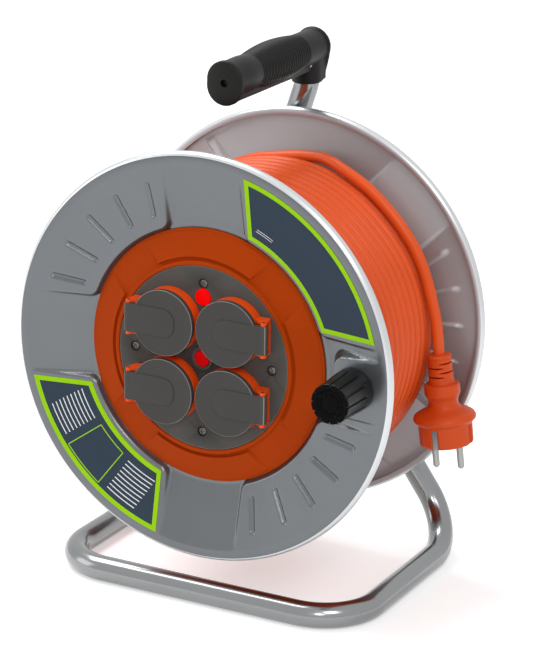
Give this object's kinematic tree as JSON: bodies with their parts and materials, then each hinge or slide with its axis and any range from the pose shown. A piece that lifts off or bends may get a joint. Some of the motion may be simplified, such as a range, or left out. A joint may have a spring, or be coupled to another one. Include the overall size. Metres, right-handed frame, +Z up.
{
  "type": "cable reel",
  "caption": "Extension cable reel: a wound drum with covered sockets, a thermal reset button and a crank knob turns in a bent tube stand with a ribbed carrying grip.",
  "frame": {"origin": "on the floor, at the middle of the outline of the reel without its free cord and plug", "axes": "+X to the right seen from the sockets, +Y from the sockets to the rear, +Z up"},
  "size_m": [0.2975, 0.2248, 0.3785],
  "materials": {
    "flange_metal": "satin silver",
    "tube_metal": "bright plated",
    "steel": "zinc plated",
    "brass": "satin",
    "black_plastic": "satin",
    "grip_plastic": "matt",
    "dark_plastic": "matt",
    "lid_plastic": "satin",
    "orange_plastic": "gloss",
    "socket_plastic": "gloss",
    "barrel_plastic": "satin",
    "cable": "satin",
    "plug_rubber": "satin",
    "gasket": "matt",
    "white_plastic": "satin",
    "lamp": "translucent look",
    "button": "gloss",
    "label": "satin sheet"
  },
  "bodies": {
    "frame": {"stand_tube": "tube_metal", "handle_grip": "grip_plastic", "axle": "steel", "axle_spacer": "steel", "thrust_washer": "white_plastic", "axle_circlip": "steel", "axle_nut": "steel", "free_cord": "cable", "plug_relief": "plug_rubber", "plug_body": "plug_rubber", "plug_pins": "steel", "plug_earth_contacts": "steel"},
    "drum": {"front_flange": "flange_metal", "rear_flange": "flange_metal", "drum_barrel": "barrel_plastic", "rear_hub": "dark_plastic", "hub_bush": "white_plastic", "front_screws": "steel", "rear_screws": "steel", "socket_carrier": "dark_plastic", "carrier_screws": "steel", "winding_core": "cable", "winding": "cable", "bezel_ring": "orange_plastic", "socket_plate": "dark_plastic", "plate_screws": "steel", "socket_1": "socket_plastic", "socket_2": "socket_plastic", "socket_3": "socket_plastic", "socket_4": "socket_plastic", "hinge_brackets": "socket_plastic", "contact_sleeves": "brass", "earth_clips": "steel", "hinge_pins": "steel", "lid_springs": "steel", "breaker_body": "black_plastic", "button_spring": "steel", "lamp_lens": "lamp", "lamp_body": "white_plastic", "terminal_block": "white_plastic", "inner_lead": "cable", "cable_clamp": "black_plastic", "label_upper": "label", "label_lower": "label", "knob_bolt": "steel", "knob_nut": "steel"},
    "knob": {"knob_grip": "black_plastic", "knob_cap": "black_plastic"},
    "button": {"reset_button": "button"},
    "cover_1": {"lid_1": "lid_plastic", "lid_gasket_1": "gasket"},
    "cover_2": {"lid_2": "lid_plastic", "lid_gasket_2": "gasket"},
    "cover_3": {"lid_3": "lid_plastic", "lid_gasket_3": "gasket"},
    "cover_4": {"lid_4": "lid_plastic", "lid_gasket_4": "gasket"}
  },
  "joints": [
    {"name": "drum_spin", "type": "hinge", "parent": "frame", "child": "drum", "pos_m": [0, 0.0002, 0.179], "axis": [0, 1, 0], "continuous": true},
    {"name": "knob_spin", "type": "hinge", "parent": "drum", "child": "knob", "pos_m": [0.117, -0.0948, 0.179], "axis": [0, 1, 0], "continuous": true},
    {"name": "lid_1_hinge", "type": "hinge", "parent": "drum", "child": "cover_1", "pos_m": [-0.0521, -0.0825, 0.2036], "axis": [0, 0, -1], "range_deg": [0, 110], "stiffness_Nm_per_rad": 0.008, "springref_deg": -34.38},
    {"name": "lid_2_hinge", "type": "hinge", "parent": "drum", "child": "cover_2", "pos_m": [0.0521, -0.0825, 0.2036], "axis": [0, 0, 1], "range_deg": [0, 110], "stiffness_Nm_per_rad": 0.008, "springref_deg": -34.38},
    {"name": "lid_3_hinge", "type": "hinge", "parent": "drum", "child": "cover_3", "pos_m": [-0.0521, -0.0825, 0.1544], "axis": [0, 0, -1], "range_deg": [0, 110], "stiffness_Nm_per_rad": 0.008, "springref_deg": -34.38},
    {"name": "lid_4_hinge", "type": "hinge", "parent": "drum", "child": "cover_4", "pos_m": [0.0521, -0.0825, 0.1544], "axis": [0, 0, 1], "range_deg": [0, 110], "stiffness_Nm_per_rad": 0.008, "springref_deg": -34.38},
    {"name": "button_press", "type": "slide", "parent": "drum", "child": "button", "axis": [0, 1, 0], "range_m": [0, 0.0025], "stiffness_N_per_m": 300, "springref_m": -0.001}
  ]
}
